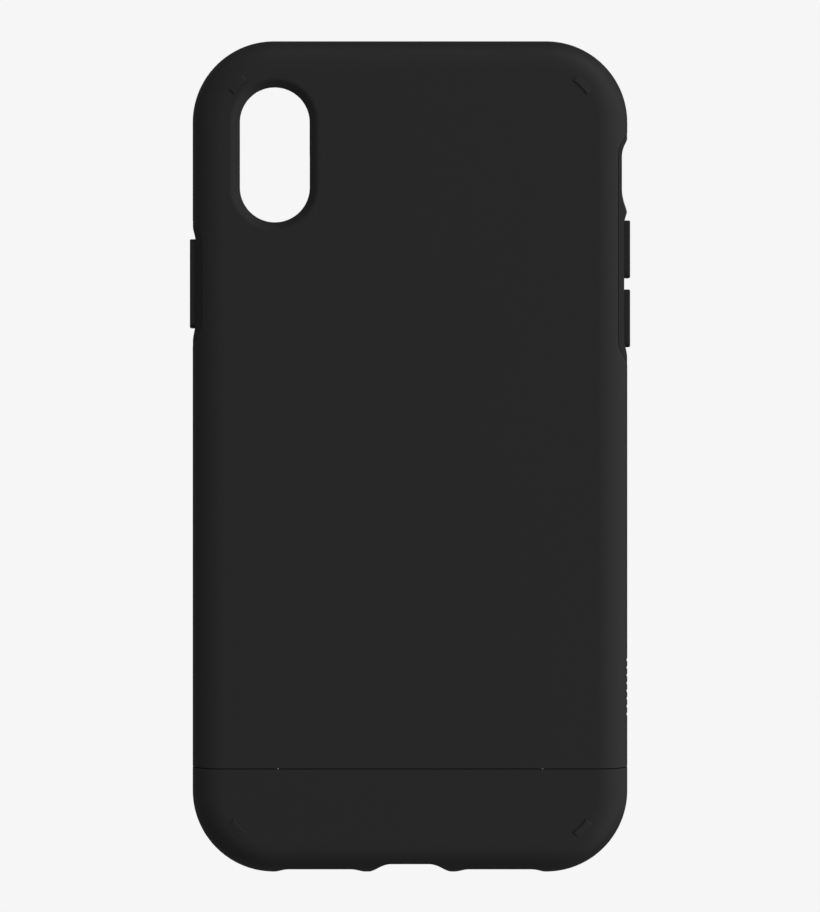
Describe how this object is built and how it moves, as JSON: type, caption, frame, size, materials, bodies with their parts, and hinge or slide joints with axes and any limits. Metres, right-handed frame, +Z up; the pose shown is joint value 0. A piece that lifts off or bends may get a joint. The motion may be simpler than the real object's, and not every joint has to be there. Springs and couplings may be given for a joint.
{
  "type": "phone case",
  "caption": "Slip-on case for a bar phone: hard outer shell over a soft liner, with a bottom cap that slides off, a camera window and sprung side buttons.",
  "frame": {"origin": "centre of the bounding box in X and Y, at the lowest point of the bottom edge", "axes": "+Z up along the case's height, +X to the right when looking at the closed back, -Y out of the closed back and +Y out of the screen side"},
  "size_m": [0.0808, 0.012, 0.1522],
  "materials": {
    "hard_shell": "fine satin polycarbonate, near black",
    "soft_liner": "matt soft-touch elastomer, near black",
    "button_cap": "matt moulded elastomer, near black",
    "latch_part": "moulded nylon, near black"
  },
  "bodies": {
    "bottom_cap": {"bottom_shell": "hard_shell", "bottom_liner": "soft_liner", "back_tongue": "latch_part", "left_latch_arm": "latch_part", "right_latch_arm": "latch_part", "lower_left_pad": "soft_liner", "lower_right_pad": "soft_liner"},
    "upper_case": {"upper_shell": "hard_shell", "upper_liner": "soft_liner", "left_side_inlay": "soft_liner", "right_side_inlay": "soft_liner", "upper_left_pad": "soft_liner", "upper_right_pad": "soft_liner"},
    "power_cap": {"power_button": "button_cap"},
    "volume_up_cap": {"volume_up_button": "button_cap"},
    "volume_down_cap": {"volume_down_button": "button_cap"}
  },
  "joints": [
    {"name": "cap_slide", "type": "slide", "parent": "bottom_cap", "child": "upper_case", "axis": [0, 0, 1], "range_m": [0, 0.03]},
    {"name": "power_press", "type": "slide", "parent": "upper_case", "child": "power_cap", "axis": [1, 0, 0], "range_m": [0, 0.00035], "stiffness_N_per_m": 6000},
    {"name": "volume_up_press", "type": "slide", "parent": "upper_case", "child": "volume_up_cap", "axis": [-1, 0, 0], "range_m": [0, 0.00035], "stiffness_N_per_m": 6000},
    {"name": "volume_down_press", "type": "slide", "parent": "upper_case", "child": "volume_down_cap", "axis": [-1, 0, 0], "range_m": [0, 0.00035], "stiffness_N_per_m": 6000}
  ]
}
